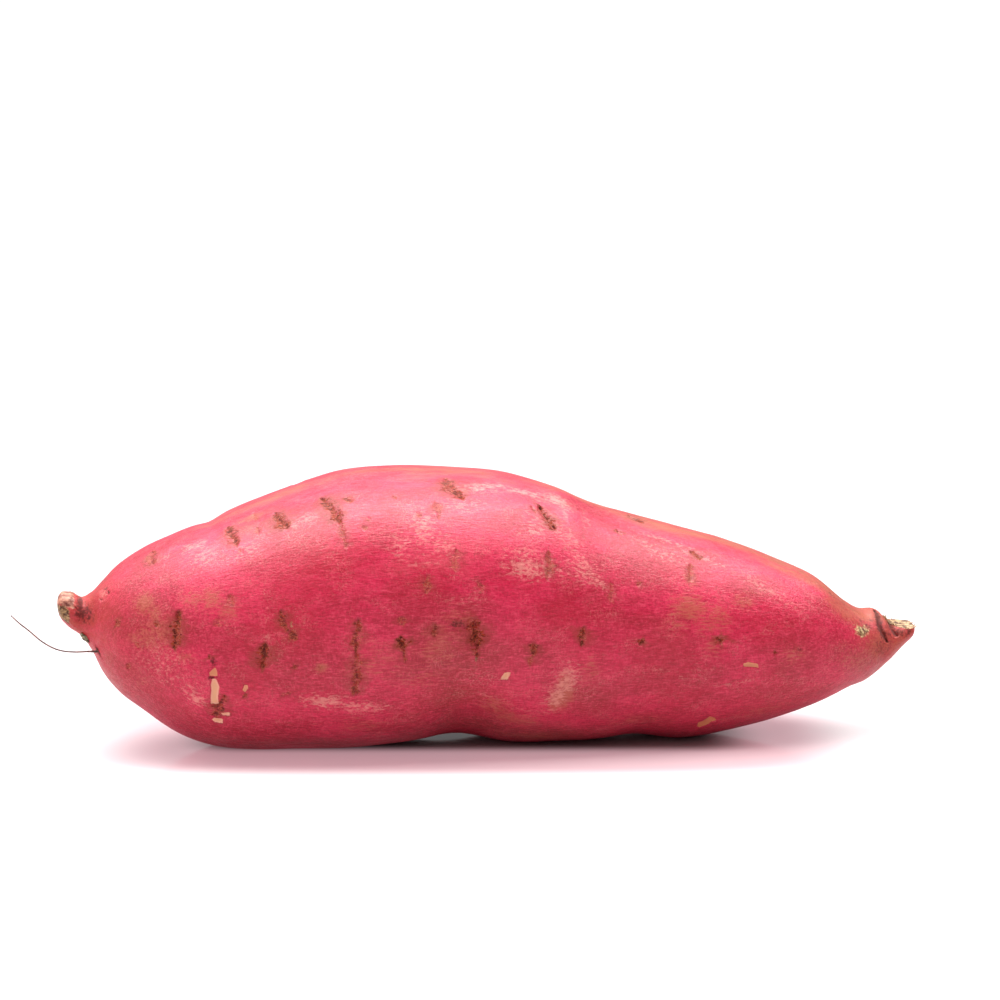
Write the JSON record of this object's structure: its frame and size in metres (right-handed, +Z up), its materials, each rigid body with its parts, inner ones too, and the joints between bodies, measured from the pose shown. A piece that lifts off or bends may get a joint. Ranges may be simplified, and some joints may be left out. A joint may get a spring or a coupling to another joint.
{
  "type": "sweet potato",
  "caption": "Whole raw sweet potato lying on its side: plump red-skinned storage root with a crown knob, torn tail, eyes and one root hair.",
  "frame": {"origin": "middle of the footprint on the surface that the root lies on, root hair included", "axes": "+X along the root from its crown knob to its torn tail, +Y from the pictured front side to the back, +Z up"},
  "size_m": [0.2105, 0.066, 0.0641],
  "materials": {
    "skin": "thin satin skin, magenta red, with fine pale streaks along the root, brown eyes and cream nicks"
  },
  "bodies": {
    "root": {"sweet_potato": "skin"}
  },
  "joints": []
}
